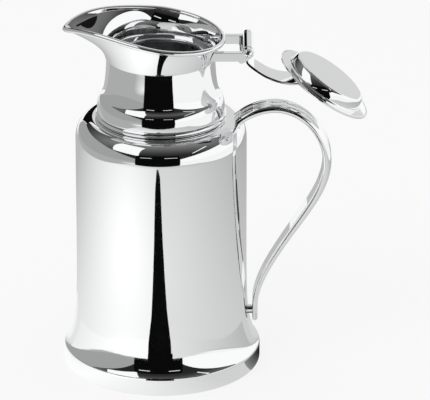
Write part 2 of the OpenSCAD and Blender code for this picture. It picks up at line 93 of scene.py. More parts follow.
def spun(profile, closed=True, steps=AROUND):
    bm = bmesh.new()
    verts = [bm.verts.new((p.x, 0, p.y)) for p in profile]
    ends = verts[1:] + verts[:1] if closed else verts[1:]
    edges = [bm.edges.new(pair) for pair in zip(verts, ends)]
    bmesh.ops.spin(
        bm, geom=verts + edges, cent=(0, 0, 0), axis=(0, 0, 1), angle=math.tau, steps=steps, use_merge=True
    )
    bmesh.ops.remove_doubles(bm, verts=bm.verts, dist=MERGE)
    bmesh.ops.recalc_face_normals(bm, faces=bm.faces)
    return bm


def creases(bm):
    return [e for e in bm.edges if len(e.link_faces) == 2 and e.calc_face_angle() > CREASE]


def softened(bm, width=FINE_EDGE, segments=3):
    bmesh.ops.bevel(
        bm, geom=creases(bm), offset=width, offset_type="OFFSET", segments=segments, profile=0.5,
        affect="EDGES", material=-1, clamp_overlap=True,
    )
    return bm


trial = softened(spun(places((4, 0), (5, 0), (5, 1), (4, 1))), width=0.2)
print("a softened washer has", len(trial.faces), "faces")
trial.free()

# %% [markdown]
# A finish is a handful of shader nodes: a base colour, some noise that is tied to the piece, and what that noise
# changes. Four helpers make them, so each finish below takes a few lines. Pictures of metal could be laid on
# instead, but noise has no seam and stays sharp at any size.

# %% Helpers for a finish
NOISE_LOW, NOISE_HIGH = 0.3, 0.7


def new_finish(name, colour, metallic):
    material = bpy.data.materials.new(name)
    material.use_nodes = True
    shader = material.node_tree.nodes["Principled BSDF"]
    shader.inputs["Base Color"].default_value = (*colour, 1)
    shader.inputs["Metallic"].default_value = metallic
    return material, shader


def noise_on(material, scale, detail, stretch=(1, 1, 1)):
    nodes, links = material.node_tree.nodes, material.node_tree.links
    where = nodes.new("ShaderNodeTexCoord")
    drawn = nodes.new("ShaderNodeMapping")
    drawn.inputs["Scale"].default_value = stretch
    noise = nodes.new("ShaderNodeTexNoise")
    noise.inputs["Scale"].default_value = scale
    noise.inputs["Detail"].default_value = detail
    links.new(where.outputs["Object"], drawn.inputs["Vector"])
    links.new(drawn.outputs["Vector"], noise.inputs["Vector"])
    return noise


def spread(material, source, low, high):
    ramp = material.node_tree.nodes.new("ShaderNodeMapRange")
    ramp.inputs["From Min"].default_value = NOISE_LOW
    ramp.inputs["From Max"].default_value = NOISE_HIGH
    ramp.inputs["To Min"].default_value = low
    ramp.inputs["To Max"].default_value = high
    material.node_tree.links.new(source, ramp.inputs["Value"])
    return ramp.outputs["Result"]


def raised(material, shader, source, height, strength):
    bump = material.node_tree.nodes.new("ShaderNodeBump")
    bump.inputs["Distance"].default_value = height
    bump.inputs["Strength"].default_value = strength
    material.node_tree.links.new(source, bump.inputs["Height"])
    material.node_tree.links.new(bump.outputs["Normal"], shader.inputs["Normal"])


print("noise is read from", NOISE_LOW, "to", NOISE_HIGH)

# %% [markdown]
# A mirror finish is hard to paint and easy to build: a metal with almost no roughness shows the room. Two
# things keep it from looking like a computer's chrome. The buffing wheel leaves very faint cloudy lines, and
# spun sheet is never quite true, so its reflections waver a little. Noise in the roughness gives the first,
# a long, very low bump the second. Both use object coordinates, so they stay put on the metal.

# %% The mirror finish
mirror_steel, mirror_shader = new_finish("mirror_steel", (0.95, 0.955, 0.96), metallic=1.0)
buffing = noise_on(mirror_steel, scale=60, detail=4, stretch=(1, 1, 6))
clouded = spread(mirror_steel, buffing.outputs["Fac"], low=0.012, high=0.045)
mirror_steel.node_tree.links.new(clouded, mirror_shader.inputs["Roughness"])
waver = noise_on(mirror_steel, scale=22, detail=1)
raised(mirror_steel, mirror_shader, waver.outputs["Fac"], height=0.0004, strength=0.12)
print("mirror finish:", len(mirror_steel.node_tree.nodes), "nodes")

# %% [markdown]
# The liner, the floors and the underside are never buffed. They keep the satin grain of rolled sheet, which
# runs in long fine lines. Noise that is stretched along one direction makes such lines, as a change in
# roughness and as a very low bump. The insulating disc in the lid is a rigid, open-celled foam.

# %% The satin and foam finishes
satin_steel, satin_shader = new_finish("satin_steel", (0.72, 0.74, 0.76), metallic=1.0)
grain = noise_on(satin_steel, scale=300, detail=3, stretch=(1, 1, 0.02))
brushed = spread(satin_steel, grain.outputs["Fac"], low=0.22, high=0.38)
satin_steel.node_tree.links.new(brushed, satin_shader.inputs["Roughness"])
raised(satin_steel, satin_shader, grain.outputs["Fac"], height=0.00005, strength=0.3)

foam, foam_shader = new_finish("rigid_foam", (0.9, 0.87, 0.78), metallic=0.0)
cells = noise_on(foam, scale=900, detail=2)
dull = spread(foam, cells.outputs["Fac"], low=0.8, high=0.95)
foam.node_tree.links.new(dull, foam_shader.inputs["Roughness"])
raised(foam, foam_shader, cells.outputs["Fac"], height=0.0003, strength=0.5)
print("satin and foam:", len(satin_steel.node_tree.nodes), len(foam.node_tree.nodes), "nodes")

# %% [markdown]
# Each finished skin becomes one object: scaled from millimetres to metres, shaded smooth except across real
# folds and tied to the body that it moves with, and the solid that it stands for is hidden. Normals are weighted
# by area, so a flat face stays flat right up to its rounded edge. One helper does all of it, so that no piece is
# forgotten.

# %% Turn a skin into a piece
MM = 0.001


def piece(name, bm, body, finish, slot, *solids):
    bmesh.ops.scale(bm, vec=(MM, MM, MM), verts=bm.verts)
    bmesh.ops.recalc_face_normals(bm, faces=bm.faces)
    for face in bm.faces:
        face.smooth = True
    for edge in creases(bm):
        edge.smooth = False
    mesh = bpy.data.meshes.new(name)
    bm.to_mesh(mesh)
    bm.free()
    mesh.materials.append(finish)
    made = bpy.data.objects.new(name, mesh)
    bpy.context.collection.objects.link(made)
    made.modifiers.new("true_flats", "WEIGHTED_NORMAL").keep_sharp = True
    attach(made, body)
    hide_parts(*solids)
    print(name, "has", len(mesh.polygons), "faces")
    return made


def polished(name, bm, body, *solids):
    return piece(name, bm, body, mirror_steel, "polished_steel", *solids)


print("ready to make pieces at", MM, "m to the millimetre")

# %% [markdown]
# The foot is a hollow ring with an upright band. Its lower edge is well rounded, and its upper edge turns in
# tightly to a narrow lip, on which the flared wall stands; the lip ends just outside the floor plate. It could be
# a torus pushed into shape, but the profile says it more exactly. The inside is the same line, one sheet further
# in. As in the photograph, the band is a touch higher than that of the solid, so the wall's flare starts higher.

# %% The foot ring
BODY_R, FLARE_OUT, FLARE = 55.6, 8.4, 12.5
FOOT_EDGE, BAND_TOP, FOOT_TURN, RIM_W, FOOT_LIP, UPSTAND_H = 2.5, 11.3, 2.8, 6, 1.3, 4
slope = math.atan(FLARE_OUT / FLARE)
foot_top = Vector((BODY_R + FLARE_OUT, BAND_TOP + FOOT_TURN * math.sin(slope)))
FOOT_R = foot_top.x + FOOT_TURN * (1 - math.cos(slope))
upstand = FOOT_R - RIM_W
edge_at, turn_at = (FOOT_R - FOOT_EDGE, FOOT_EDGE), (FOOT_R - FOOT_TURN, BAND_TOP)


def foot_line(inset, edge_steps, turn_steps):
    edge, turned = FOOT_EDGE - inset, FOOT_TURN - inset
    return (
        places((upstand + inset, UPSTAND_H), (upstand + inset, inset))
        + part_ellipse(edge_at, edge, edge, -90, 0, edge_steps)
        + part_ellipse(turn_at, turned, turned, 0, math.degrees(slope), turn_steps)
        + places((foot_top.x - FOOT_LIP, foot_top.y - inset))
    )


foot_profile = foot_line(0, 10, 14) + foot_line(SHEET, 6, 8)[::-1]
polished("bright_foot_ring", softened(spun(foot_profile)), "jug", "foot_ring")
print("the foot is", round(foot_top.y, 2), "mm high")

# %% [markdown]
# The outer wall flares down to the foot in a curve that dies away upwards, with a slight dip just above the
# foot. Higher up it runs straight and turns in over a shoulder that is a little fuller than a quarter ellipse,
# to a flat lip for the neck. The profile has many places where it bends and few where it is straight, because
# only bends need them.

# %% The outer wall
WALL_TOP, WALL_LIP_R = 156, 39.5
SHOULDER_R, SHOULDER_Z, SHOULDER_POWER = 44, 171, 2.25
DIP, DIP_LEN, CROWD, FADE_LENGTHS = 0.3, 2.8, 1.4, 6
foot_h = foot_top.y
flare_top = foot_h + FADE_LENGTHS * FLARE


def wall_r(z):
    rise = z - foot_h
    flare = FLARE_OUT * math.exp(-rise / FLARE) - DIP * rise * math.exp(-rise / DIP_LEN)
    return BODY_R + flare if z < flare_top else BODY_R


def on_shoulder(t, inset=0):
    wide, high = BODY_R - SHOULDER_R - inset, SHOULDER_Z - WALL_TOP - inset
    out, up = math.cos(t) ** (2 / SHOULDER_POWER), math.sin(t) ** (2 / SHOULDER_POWER)
    return Vector((SHOULDER_R + wide * out, WALL_TOP + high * up))


def wall_line(inset, count):
    heights = [foot_h + (flare_top - foot_h) * (i / count) ** CROWD for i in range(count + 1)]
    side = [Vector((wall_r(z) - inset, z)) for z in heights]
    shoulder = [on_shoulder(math.pi / 2 * i / count, inset) for i in range(count)]
    return side + shoulder + places((SHOULDER_R, SHOULDER_Z - inset), (WALL_LIP_R, SHOULDER_Z - inset))


wall_profile = wall_line(0, 48) + wall_line(SHEET, 24)[::-1]
polished("bright_wall", softened(spun(wall_profile)), "jug", "outer_shell")

# %% [markdown]
# The neck is a separate turned ring. It has a round bead at its foot and a crease above the bead. From there it
# rises upright, leans in over a short steep stretch and sweeps up to the collar's seam: two curves that meet
# where the sheet is steepest. The inner face is the same line, one sheet further in.

# %% The neck ring
WAIST_R, SEAM_Z, NECK_LIP_R = 35.1, 212.2, 31.1
BEAD, BEAD_OUT, BEAD_TURN, CREASE_R = 2.3, 42.5, 62, 41.4
steep, STEEP_LEAN = Vector((39, 186.8)), math.radians(42)
CREASE_PULL, STEEP_IN, STEEP_UP, WAIST_FLARE, WAIST_PULL = 6, 2.4, 3.5, 0.45, 14
steep_way = Vector((-math.sin(STEEP_LEAN), math.cos(STEEP_LEAN)))
crease = Vector((CREASE_R, SHOULDER_Z + 2 * BEAD))
bead_line = part_ellipse((BEAD_OUT - BEAD, SHOULDER_Z + BEAD), BEAD, BEAD, -90, BEAD_TURN, 18)
waist_in = (WAIST_R + WAIST_FLARE, SEAM_Z - WAIST_PULL)
hollow = (
    curve(crease, crease + Vector((0, CREASE_PULL)), steep - STEEP_IN * steep_way, steep, 28)
    + curve(steep, steep + STEEP_UP * steep_way, waist_in, (WAIST_R, SEAM_Z), 36)[1:]
)
hollow_inside = [p for p in moved_left(hollow, SHEET) if p.y < SEAM_Z - SHEET]
neck_profile = (
    bead_line
    + hollow
    + places((NECK_LIP_R, SEAM_Z), (NECK_LIP_R, SEAM_Z - SHEET), (WAIST_R - SHEET, SEAM_Z - SHEET))
    + hollow_inside[::-1]
    + places((BEAD_OUT - BEAD - SHEET / 2, SHOULDER_Z))
)
polished("bright_neck", softened(spun(neck_profile), width=0.2), "jug", "neck_ring")

# %% [markdown]
# Inside hangs the liner, the second wall that makes the jug a flask. It is taken as four welded pieces: a pressed
# floor with an upstand, a rolled wall round that upstand, a drawn dome whose skirt takes the wall, and a rolled
# neck on the dome's lip. All keep their satin sheet. One closed skin would look the same from above, but here
# each piece of sheet is made by itself and fitted to the next.

# %% The liner
FIT, FLOOR_GAP, DOME_TURN = 0.1, 6, 80
MOUTH_R, LINER_R, LINER_FLOOR = 28, 50.8, foot_h + SHEET + FLOOR_GAP
LINER_CORNER, LINER_TOP, LINER_NECK, LAP = 12, 152, 166.2, 4
LINER_LOW = LINER_FLOOR + LINER_CORNER
WALL_R = LINER_R - SHEET - FIT
FLOOR_R = WALL_R - SHEET - FIT


def liner_floor_line(inset, count):
    corner = LINER_CORNER - inset
    pressed = part_ellipse((FLOOR_R - LINER_CORNER, LINER_LOW), corner, corner, -90, 0, count)
    return places((0, LINER_FLOOR + inset)) + pressed + places((FLOOR_R - inset, LINER_LOW + LAP))


def liner_dome_line(inset, count):
    dome = (LINER_R - MOUTH_R - SHEET - inset, LINER_NECK - LINER_TOP - inset)
    return (
        places((LINER_R - inset, LINER_TOP - LAP))
        + part_ellipse((MOUTH_R + SHEET, LINER_TOP), *dome, 0, DOME_TURN, count)
        + places((MOUTH_R + SHEET - inset, LINER_NECK + SHEET))
    )


def sheet_ring(r, low, high):
    return places((r, low), (r, high), (r - SHEET, high), (r - SHEET, low))


def satin(name, bm, *solids):
    return piece(name, softened(bm), "jug", satin_steel, "plain_steel", *solids)


floor_profile = liner_floor_line(0, 12) + liner_floor_line(SHEET, 12)[::-1]
satin("satin_liner_floor", spun(floor_profile, closed=False), "liner_floor")
satin("satin_liner_wall", spun(sheet_ring(WALL_R, LINER_LOW, LINER_TOP)), "liner_wall")
satin("satin_liner_dome", spun(liner_dome_line(0, 14) + liner_dome_line(SHEET, 14)[::-1]), "liner_dome")
satin("satin_liner_neck", spun(sheet_ring(MOUTH_R + SHEET, LINER_NECK + SHEET, SEAM_Z)), "liner_neck")

# %% [markdown]
# A polished seat ring lies on the neck's lip. It holds the mouth of the liner, and the lid comes down on it. It
# is a thick washer whose inner edge is turned to a half round; a flat edge with a bevel would be quicker, but
# it would show hard lines in the mirror.

# %% The seat ring
NOSE = 0.9
SEAT_Z, SEAT_R = SEAM_Z + 2 * NOSE, WAIST_R - SHEET - FIT
seat_nose = part_ellipse((MOUTH_R + NOSE, SEAM_Z + NOSE), NOSE, NOSE, 270, 90, 12)
seat_profile = seat_nose + places((SEAT_R, SEAT_Z), (SEAT_R, SEAM_Z))
polished("bright_seat", softened(spun(seat_profile)), "jug", "seat_ring")

# %% [markdown]
# Some pieces are drawn out or cast, so no lathe line can give them. They are built from rows of places: a ring is
# extruded row by row, and each row is moved to where the metal lies. The ends are then filled, or bridged where
# the skin comes back to its start. Faces could be listed by hand, but the operators keep the skin closed.

# %% Rows of places into one skin
def lofted(rows, capped=True):
    bm = bmesh.new()
    ring = bmesh.ops.create_circle(bm, segments=len(rows[0]), radius=1)["verts"]
    edges = first = bm.edges[:]
    for spot, vert in zip(rows[0], ring):
        vert.co = spot
    for row in rows[1:]:
        made = bmesh.ops.extrude_edge_only(bm, edges=edges)["geom"]
        fresh = {v for v in made if isinstance(v, bmesh.types.BMVert)}
        ring = [next(e.other_vert(v) for e in v.link_edges if e.other_vert(v) in fresh) for v in ring]
        edges = [e for e in made if isinstance(e, bmesh.types.BMEdge) and set(e.verts) <= fresh]
        for spot, vert in zip(row, ring):
            vert.co = spot
    if capped:
        bmesh.ops.edgeloop_fill(bm, edges=first)
        bmesh.ops.edgeloop_fill(bm, edges=edges)
    else:
        bmesh.ops.bridge_loops(bm, edges=first + edges)
    bmesh.ops.recalc_face_normals(bm, faces=bm.faces)
    return bm


trial = lofted([[(1, 0, z), (0, 1, z), (-1, 0, z), (0, -1, z)] for z in (0, 1)])
print("a lofted post has", len(trial.faces), "faces")
trial.free()

# %% [markdown]
# The collar is the one piece that no lathe can finish: it is spun first, then its rim is tilted and drawn out
# over a form into a beak. From above, the rim is round on the side of the hinge, and on the other side its two
# flanks run to a point. From the side it rises evenly and falls a little at the tip.

# %% The drawn rim
RIM_R, RIM_Z, RIM_TILT = 40.5, 230, math.tan(math.radians(8.2))
SPOUT_REACH, SPOUT_DROP = 61.7, 8
BEAK_POWER, BEAK_START, BEAK_FALL = 1.45, 14, 4


def rim_reach(t):
    if math.cos(t) >= 0:
        return RIM_R
    along = (-math.cos(t) / SPOUT_REACH) ** BEAK_POWER
    across = (abs(math.sin(t)) / RIM_R) ** BEAK_POWER
    return (along + across) ** (-1 / BEAK_POWER)


def rim_height(t):
    x = rim_reach(t) * math.cos(t)
    past = max(0, -x - BEAK_START) / (SPOUT_REACH - BEAK_START)
    return RIM_Z - x * RIM_TILT - SPOUT_DROP * past**BEAK_FALL


angles = [math.tau * i / AROUND for i in range(AROUND)]
rim_top = max(rim_height(t) for t in angles)
print("the rim runs from", round(rim_height(0), 1), "to", round(rim_top, 1), "mm")

# %% [markdown]
# A section through the collar leans out a little above the seam, flares to the rim, runs round the thick rolled
# lip and comes back down inside. Sections at every angle, read row by row, give the skin. A spun collar could be
# pulled into a beak instead, but its lip would get thin towards the tip.

# %% The collar
COLLAR_R, STEP_H, LEAN = 35.9, 0.8, 1.2
SIDE_BEND, SPOUT_BEND = 0.68, 0.42
LIP_R, LIP_TURN, LIP_STEPS = 1.7, 120, 20


def flare_line(t, count=24):
    reach, z = rim_reach(t), rim_height(t)
    share = SIDE_BEND + (SPOUT_BEND - SIDE_BEND) * (reach - RIM_R) / (SPOUT_REACH - RIM_R)
    corner = (COLLAR_R + LEAN, SEAM_Z + (z - SEAM_Z) * share)
    return places((WAIST_R, SEAM_Z)) + bend((COLLAR_R, SEAM_Z + STEP_H), corner, (reach, z), count)


def collar_section(t):
    line = flare_line(t)
    way = (line[-1] - line[-2]).normalized()
    side = Vector((-way.y, way.x))
    middle = line[-1] + side * SHEET / 2
    turns = [math.radians(LIP_TURN * (2 * i / LIP_STEPS - 1)) for i in range(LIP_STEPS + 1)]
    lip = [middle + LIP_R * (math.cos(a) * way + math.sin(a) * side) for a in turns]
    inner = moved_left(line, SHEET)[1:-2]
    return line[:-2] + lip + inner[::-1] + places((WAIST_R - SHEET, SEAM_Z))


sections = [collar_section(t) for t in angles]
collar_rows = [
    [(s[j].x * math.cos(t), s[j].x * math.sin(t), s[j].y) for t, s in zip(angles, sections)]
    for j in range(len(sections[0]))
]
polished("bright_collar", softened(lofted(collar_rows, capped=False)), "jug", "spout_collar")

# %% [markdown]
# The handle is one cast strap with a flat inner face and two full beads along the outer face, which run down
# into its round sides. A curve object with a bevel profile could carry this section, but then the lower half of
# the strap couldn't get thinner. So the section is drawn here once, and scaled and placed row by row later.

# %% The strap's section
STRAP_W, STRAP_T, REED, GROOVE_POWER = 16, 4.2, 1.5, 0.6
SIDE_R, BEAD_HALF, BEAD_STEPS = STRAP_T / 2, STRAP_W / 4, 18
BEAD_TOP = SIDE_R + REED


def grooved(x):
    rise = abs(math.sin(math.pi / 2 * x / BEAD_HALF)) ** GROOVE_POWER
    return Vector((x, SIDE_R + REED * rise))


strap_section = (
    part_ellipse((BEAD_HALF, 0), BEAD_HALF, BEAD_TOP, 0, 90, BEAD_STEPS)
    + [grooved(BEAD_HALF * (1 - i / BEAD_STEPS)) for i in range(1, 2 * BEAD_STEPS)]
    + part_ellipse((-BEAD_HALF, 0), BEAD_HALF, BEAD_TOP, 90, 180, BEAD_STEPS)
    + part_ellipse((SIDE_R - STRAP_W / 2, 0), SIDE_R, SIDE_R, 180, 270, 8)[1:]
    + part_ellipse((STRAP_W / 2 - SIDE_R, 0), SIDE_R, SIDE_R, -90, 0, 8)[:-1]
)
print("the strap's section has", len(strap_section), "places")

# %% [markdown]
# The strap leaves the shoulder, rises to a crest, swings out over the hand, draws in to a waist and runs straight
# down to its end near the foot. Four curves, each leaving in the direction in which the last one arrived, keep
# the line smooth; one long curve through the same places would swing too far. A pull says how far a curve holds
# its direction.

# %% The strap's line
ROOT_AT, ROOT_OUT, ROOT_SINK = math.radians(57), 2.4, 1.6
ROOT_PULL, CREST_PULL, BULGE_PULL, DRAW_PULL, END_PULL = 7, 18, 19, 21, 14
DRAW_LEAN = math.radians(32.5)
END_Z, END_INNER_X, END_LENGTH, END_SHARE = 29.26, 59.54, 10, 0.62
TO_CREST, TO_BULGE, TO_WAIST, TO_END = 24, 40, 40, 32
root, root_way = on_shoulder(ROOT_AT), Vector((1, 0.8)).normalized()
strap_start = root + ROOT_OUT * root_way
crest, bulge, waist = places((73.8, 177.6), (107.1, 141), (81.8, 87.5))
waist_pull = DRAW_PULL * Vector((math.sin(DRAW_LEAN), math.cos(DRAW_LEAN)))
to_crest, past_crest = places((ROOT_PULL, 0), (CREST_PULL, 0))
bulge_pull, end_pull = places((0, BULGE_PULL), (0, END_PULL))
straight_top = Vector((END_INNER_X + STRAP_T * END_SHARE / 2, END_Z + END_LENGTH))
strap_line = (
    curve(strap_start, strap_start + ROOT_PULL * root_way, crest - to_crest, crest, TO_CREST)
    + curve(crest, crest + past_crest, bulge + bulge_pull, bulge, TO_BULGE)[1:]
    + curve(bulge, bulge - bulge_pull, waist + waist_pull, waist, TO_WAIST)[1:]
    + curve(waist, waist - waist_pull, straight_top + end_pull, straight_top, TO_END)[1:]
    + places((straight_top.x, END_Z))
)
print("the strap follows", len(strap_line), "places")

# %% [markdown]
# A row of the strap lies square to the line. Its thickness stays full down to the furthest point of the
# handle and then thins evenly to the lower end. The block at the root has the same section and stops in the
# shoulder; a short stud keeps the lower end off the wall.

# %% The handle with its root and stud
def strap_row(spot, way, share):
    out = Vector((-way.y, way.x)) * share
    return [(spot.x + s.y * out.x, s.x, spot.y + s.y * out.y) for s in strap_section]


last, bulge_at = len(strap_line) - 1, TO_CREST + TO_BULGE - 2
middle_ways = [strap_line[i + 1] - strap_line[i - 1] for i in range(1, last)]
strap_ways = [root_way] + middle_ways + places((0, -1))
past_bulge = [min(1, max(0, (i - bulge_at) / (last - 1 - bulge_at))) for i in range(last + 1)]
strap_rows = [
    strap_row(spot, way.normalized(), 1 - (1 - END_SHARE) * past)
    for spot, way, past in zip(strap_line, strap_ways, past_bulge)
]
polished("bright_handle", softened(lofted(strap_rows), width=0.35), "jug", "handle")

root_steps = (-ROOT_SINK, (ROOT_OUT - ROOT_SINK) / 2, ROOT_OUT)
root_rows = [strap_row(root + d * root_way, root_way, 1) for d in root_steps]
polished("bright_handle_root", lofted(root_rows), "jug", "handle_root")

STUD_R, STUD_Z, STUD_SINK = 3, END_Z + END_LENGTH / 2, 0.4
stud_in = wall_r(STUD_Z) - STUD_SINK
stud_profile = places((0, stud_in), (STUD_R, stud_in), (STUD_R, END_INNER_X), (0, END_INNER_X))
stud = spun(stud_profile, False, 48)
bmesh.ops.rotate(stud, cent=(0, 0, 0), matrix=Matrix.Rotation(math.pi / 2, 3, "Y"), verts=stud.verts)
bmesh.ops.translate(stud, vec=(0, 0, STUD_Z), verts=stud.verts)
polished("bright_handle_stud", softened(stud, width=0.2), "jug", "handle_stud")

# %% [markdown]
# The hinge is a fork with a pin. When the lid is thrown back, its arm comes to rest just above a bar between the
# ears. So the bar's place follows from the arm: the start of the arm is drawn as it lies when the lid is shut,
# and then turned open. The bar could be placed by eye, but then it would clash or hang free.

# %% The pin, the arm's start and the stop
PIN, PIN_R = Vector((56.2, 220.6)), 1.5
KNUCKLE_R, ARM_T = 3.7, 1.6
SHUT = math.radians(215)


def opened(p):
    c, s = math.cos(SHUT), math.sin(SHUT)
    return Vector((p.x * c + p.y * s, p.y * c - p.x * s))


arm_start, arm_top = places((0, KNUCKLE_R - ARM_T / 2), (-6.4, 9.5))
arm_way = (arm_top - arm_start).normalized()
arm_side = Vector((-arm_way.y, arm_way.x))
STOP_R, STOP_EYE, STOP_ALONG, STOP_GAP = 1.5, 2.6, 1.2, 0.3
stop = PIN + opened(arm_start + STOP_ALONG * arm_way - (ARM_T / 2 + STOP_GAP + STOP_R) * arm_side)
print("the stop bar sits at", [round(v, 2) for v in stop])

# %% [markdown]
# Two ears stand out from the collar and carry the hinge. Each is a flat bar with a round eye for the pin at
# its end and a smaller eye below it for the stop bar. The outline is drawn once and extruded to the ear's
# thickness, and its root is moved onto the collar's round wall, so that nothing shows inside the mouth.

# %% The hinge ears
EYE_R, FORK, EAR_T, EAR_H, EAR_DROP = 3.5, 14, 4, 2.9, 2.3
link = stop - PIN
facing = math.degrees(math.atan2(link.y, link.x))
tangent = facing + math.degrees(math.acos((EYE_R - STOP_EYE) / link.length))
low, high = PIN.y - EAR_DROP - EAR_H, PIN.y - EAR_DROP + EAR_H
stop_from = 180 - math.degrees(math.asin((low - stop.y) / STOP_EYE))
eye_to = 180 - math.degrees(math.asin((high - PIN.y) / EYE_R))
collar_heights = flare_line(0, 60)


def collar_r(z):
    return next(p.x for p in reversed(collar_heights) if p.y <= z)


def ear(name, near):
    outline = part_ellipse(stop, STOP_EYE, STOP_EYE, stop_from, tangent + 360, 20)
    outline += part_ellipse(PIN, EYE_R, EYE_R, tangent, eye_to, 28)
    outline += [Vector((0, high - (high - low) * i / 8)) for i in range(9)]
    bm = bmesh.new()
    bm.faces.new([bm.verts.new((p.x, near, p.y)) for p in outline])
    made = bmesh.ops.extrude_face_region(bm, geom=bm.faces[:])["geom"]
    far_side = [v for v in made if isinstance(v, bmesh.types.BMVert)]
    bmesh.ops.translate(bm, vec=(0, EAR_T, 0), verts=far_side)
    for v in bm.verts:
        if v.co.x == 0:
            v.co.x = math.sqrt((collar_r(v.co.z) + FIT) ** 2 - v.co.y**2)
    bmesh.ops.recalc_face_normals(bm, faces=bm.faces)
    polished("bright_" + name, softened(bm, width=0.5, segments=4), "jug", name)


ear("hinge_ear_near", -FORK - EAR_T)
ear("hinge_ear_far", FORK)
print("the ears reach", round(PIN.x + EYE_R, 1), "mm from the axis")

# %% [markdown]
# The pin has a low dome on each end, and the stop bar is a plain rod between the ears. Both are turned about
# the upright axis, laid along the hinge and moved to their eyes. Cylinder primitives would do for the rods, but
# the same spin gives the pin its heads too.

# %% The pin and the stop bar
def laid_across(bm, spot):
    bmesh.ops.rotate(bm, cent=(0, 0, 0), matrix=Matrix.Rotation(math.pi / 2, 3, "X"), verts=bm.verts)
    bmesh.ops.translate(bm, vec=(spot.x, 0, spot.y), verts=bm.verts)
    return bm


HALF, HEAD_R, HEAD_H = FORK + EAR_T, 2.6, 1.5
head = part_ellipse((0, HALF), HEAD_R, HEAD_H, 0, 90, 12)
low_head = [Vector((p.x, -p.y)) for p in reversed(head)]
pin_profile = low_head + places((PIN_R, -HALF), (PIN_R, HALF)) + head
polished("bright_pin", laid_across(softened(spun(pin_profile, False, 64)), PIN), "jug", "hinge_pin")
rod = places((0, -FORK), (STOP_R, -FORK), (STOP_R, FORK), (0, FORK))
polished("bright_stop_bar", laid_across(softened(spun(rod, False, 48)), stop), "jug", "stop_bar")

# %% [markdown]
# The lid is drawn shut, where it is round about the jug's own axis, and then swung back about the pin. It could
# be drawn open, but then no lathe line would be left in it. The cover is a low dome whose edge is turned down
# and hemmed.

# %% The lid's cover
HEM_R, HEM_H, HEM_FLAT, LID_SHEET, DOME = 33.9, 1.7, 3, 0.8, 5.5
LID_GAP = 0.3
FLANGE_Z = SEAT_Z + LID_GAP
COVER_Z, COVER_R = FLANGE_Z + HEM_H, HEM_R - HEM_FLAT


def dome_z(r):
    return COVER_Z + DOME * (1 - (r / COVER_R) ** 2)


def dome_line(drop, count):
    return [Vector((COVER_R * i / count, dome_z(COVER_R * i / count) - drop)) for i in range(count + 1)]


def swung_open(bm):
    about = Matrix.Translation((PIN.x, 0, PIN.y))
    swing = about @ Matrix.Rotation(SHUT, 4, "Y") @ about.inverted()
    bmesh.ops.transform(bm, matrix=swing, verts=bm.verts)
    return bm


hem_r, flange_top = HEM_H / 2, COVER_Z - LID_SHEET
hem = part_ellipse((HEM_R - hem_r, COVER_Z - hem_r), hem_r, hem_r, 90, 0, 12)
under = places((HEM_R, FLANGE_Z), (HEM_R - LID_SHEET, FLANGE_Z), (HEM_R - LID_SHEET, flange_top))
cover_profile = dome_line(0, 40) + hem + under + dome_line(LID_SHEET, 24)[::-1]
polished("bright_lid_cover", swung_open(softened(spun(cover_profile, False), width=0.2)), "lid", "lid_cover")

# %% [markdown]
# Under the cover sits a pan with a flange and a tapered plug that keeps the heat in. Pressed sheet has no sharp
# foot and no quite straight side, so a small fillet leads from the flange into the plug, its side bulges a
# little, and a wide round takes it into the flat end. A plain cone would do for the fit, but not for the mirror.

# %% The lid's plug
PLUG_R, PLUG_H, PLUG_TAPER, PLUG_EDGE, FILLET = 26.8, 7.2, 1, 2.4, 1
SIDE_DRAW, EDGE_START = 0.2, -22
PLUG_Z, FLANGE_R = FLANGE_Z - PLUG_H, HEM_R - LID_SHEET - FIT
plug_corner = (PLUG_R - PLUG_TAPER - PLUG_EDGE, PLUG_Z + PLUG_EDGE)
plug_foot = flange_top - LID_SHEET - FILLET
plug_round = part_ellipse(plug_corner, PLUG_EDGE, PLUG_EDGE, EDGE_START, -90, 12)
plug_middle = (PLUG_R - SIDE_DRAW, (plug_foot + plug_round[0].y) / 2)
plug_outside = (
    places((FLANGE_R, flange_top), (FLANGE_R, flange_top - LID_SHEET))
    + part_ellipse((PLUG_R + FILLET, plug_foot), FILLET, FILLET, 90, 180, 8)
    + bend((PLUG_R, plug_foot), plug_middle, plug_round[0], 16)[1:-1]
    + plug_round
    + places((0, PLUG_Z))
)
inner_edge = PLUG_EDGE - LID_SHEET
plug_inside = (
    places((PLUG_R - LID_SHEET, flange_top))
    + part_ellipse(plug_corner, inner_edge, inner_edge, 0, -90, 8)
    + places((0, PLUG_Z + LID_SHEET))
)
plug = spun(plug_inside[::-1] + plug_outside, False)
polished("bright_lid_plug", swung_open(softened(plug, width=0.25)), "lid", "lid_plug")

# %% [markdown]
# The arm is a strap that is rolled round the pin, lifted over the rim and laid down on the dome. Its side
# view is one line with a thickness; across, it widens towards the lid. So the side view is extruded across
# in steps, each step is given its width, and the foot's underside is moved onto the dome.

# %% The lid's arm
LAND_R, LAND_EDGE, TIP_R, OVER_RIM, TIP_SINK, REST_GAP = 16, 2, 7, (-4, 9.1), 0.3, 0.02
ARM_HALF, ARM_SPREAD, ARM_STEPS = 9, 2.5, 8
land, tip = (Vector((r - PIN.x, dome_z(r) - PIN.y)) for r in (LAND_R, TIP_R))
over_rim = Vector((RIM_R - PIN.x, 0)) + Vector(OVER_RIM)
half_t = Vector((0, ARM_T / 2))
arm_line = (
    [arm_start]
    + bend(arm_top - 2.4 * arm_way, arm_top, over_rim, 16)
    + curve(over_rim, over_rim - Vector((8, 0.9)), land + Vector((5, 5.6)), land + half_t, 24)[1:]
    + [tip + half_t - Vector((0, TIP_SINK))]
)
REACH = -tip.x


def half_width(x):
    return ARM_HALF + ARM_SPREAD * max(0, (-x - REACH / 2) / (REACH / 2))


